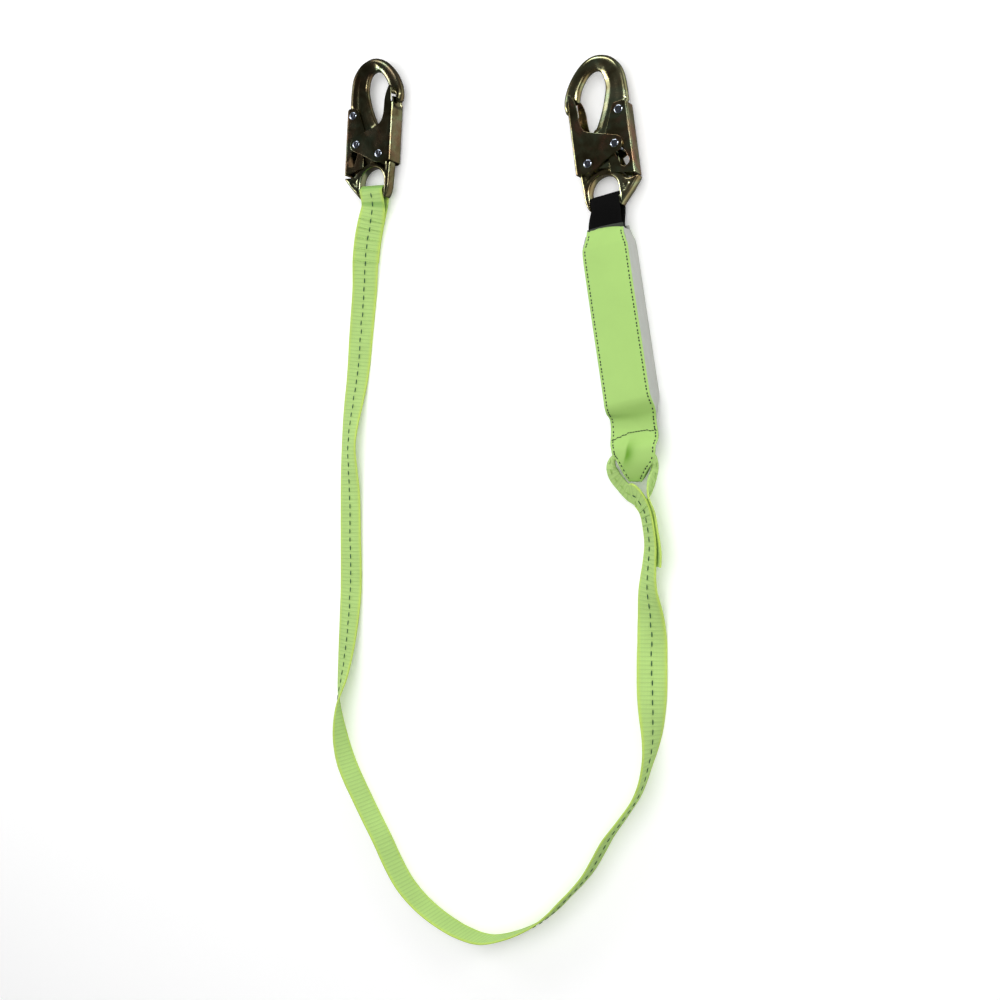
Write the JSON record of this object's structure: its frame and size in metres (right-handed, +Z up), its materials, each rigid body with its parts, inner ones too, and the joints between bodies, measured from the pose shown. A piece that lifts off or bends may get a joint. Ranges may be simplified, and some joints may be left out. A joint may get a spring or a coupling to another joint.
{
  "type": "shock absorbing lanyard",
  "caption": "Fall arrest lanyard: a webbing leg with a double locking snap hook at one end and an energy absorber pack with a snap hook at the other.",
  "frame": {"origin": "middle of the footprint, on the surface that the lanyard lies on", "axes": "+X across the lanyard from hook A's leg towards the absorber pack, +Y along its length towards the hooks' crowns, +Z up from the surface"},
  "size_m": [0.3659, 0.8565, 0.0272],
  "materials": {
    "forged_steel": "yellow zinc chromate plating on forged steel",
    "plated_sheet": "dark yellow chromate plating on pressed steel",
    "rivet_steel": "bright zinc plating",
    "spring_steel": "bare spring wire",
    "green_webbing": "woven high-visibility polyester webbing",
    "thread": "bonded polyester sewing thread",
    "cover_fabric": "smooth coated high-visibility cover cloth",
    "side_fabric": "pale grey woven cloth",
    "inner_webbing": "white tear webbing",
    "black_webbing": "black woven polyester webbing"
  },
  "bodies": {
    "leg": {"leg_webbing": "green_webbing", "leg_hook_end_stitching": "thread", "leg_pack_end_stitching": "thread"},
    "pack": {"cover_front": "cover_fabric", "cover_back": "cover_fabric", "cover_side_left": "side_fabric", "cover_side_right": "side_fabric", "cover_top_rim": "side_fabric", "tear_webbing": "inner_webbing", "backup_webbing": "inner_webbing", "pack_end_loop": "black_webbing", "hook_loop_webbing": "black_webbing", "hook_loop_stitching": "thread", "end_loop_stitching": "thread"},
    "hook_a": {"hook_body_a": "forged_steel", "gate_rivet_a": "rivet_steel", "lever_rivet_a": "rivet_steel", "gate_spring_a": "spring_steel", "lock_spring_a": "spring_steel"},
    "gate_a": {"gate_a": "plated_sheet", "lock_pin_a": "rivet_steel"},
    "lever_a": {"lock_lever_a": "plated_sheet"},
    "hook_b": {"hook_body_b": "forged_steel", "gate_rivet_b": "rivet_steel", "lever_rivet_b": "rivet_steel", "gate_spring_b": "spring_steel", "lock_spring_b": "spring_steel"},
    "gate_b": {"gate_b": "plated_sheet", "lock_pin_b": "rivet_steel"},
    "lever_b": {"lock_lever_b": "plated_sheet"}
  },
  "joints": [
    {"name": "hook_a_swing", "type": "hinge", "parent": "leg", "child": "hook_a", "pos_m": [-0.1277, 0.2953, 0.01162], "axis": [0.9981, -0.0611, 0], "range_deg": [0, 90]},
    {"name": "pack_swing", "type": "hinge", "parent": "leg", "child": "pack", "pos_m": [0.1545, 0.031, 0.0105], "axis": [1, 0, 0], "range_deg": [0, 12]},
    {"name": "hook_b_swing", "type": "hinge", "parent": "pack", "child": "hook_b", "pos_m": [0.1282, 0.2543, 0.01162], "axis": [0.9903, 0.1392, 0], "range_deg": [0, 90]},
    {"name": "gate_a_hinge", "type": "hinge", "parent": "hook_a", "child": "gate_a", "pos_m": [-0.11555, 0.33022, 0.01162], "axis": [0, 0, 1], "range_deg": [0, 28], "stiffness_Nm_per_rad": 0.05, "deforming": ["gate_spring_a"]},
    {"name": "lever_a_hinge", "type": "hinge", "parent": "hook_a", "child": "lever_a", "pos_m": [-0.14801, 0.37268, 0.01162], "axis": [0, 0, 1], "range_deg": [0, 7], "stiffness_Nm_per_rad": 0.05, "deforming": ["lock_spring_a"]},
    {"name": "gate_b_hinge", "type": "hinge", "parent": "hook_b", "child": "gate_b", "pos_m": [0.11334, 0.28816, 0.01162], "axis": [0, 0, -1], "range_deg": [0, 28], "stiffness_Nm_per_rad": 0.05, "deforming": ["gate_spring_b"]},
    {"name": "lever_b_hinge", "type": "hinge", "parent": "hook_b", "child": "lever_b", "pos_m": [0.14238, 0.33304, 0.01162], "axis": [0, 0, -1], "range_deg": [0, 7], "stiffness_Nm_per_rad": 0.05, "deforming": ["lock_spring_b"]}
  ],
  "couplings": [
    {"joint": "lever_a_hinge", "follows": "gate_a_hinge", "ratio": 0.25},
    {"joint": "lever_b_hinge", "follows": "gate_b_hinge", "ratio": 0.25}
  ]
}
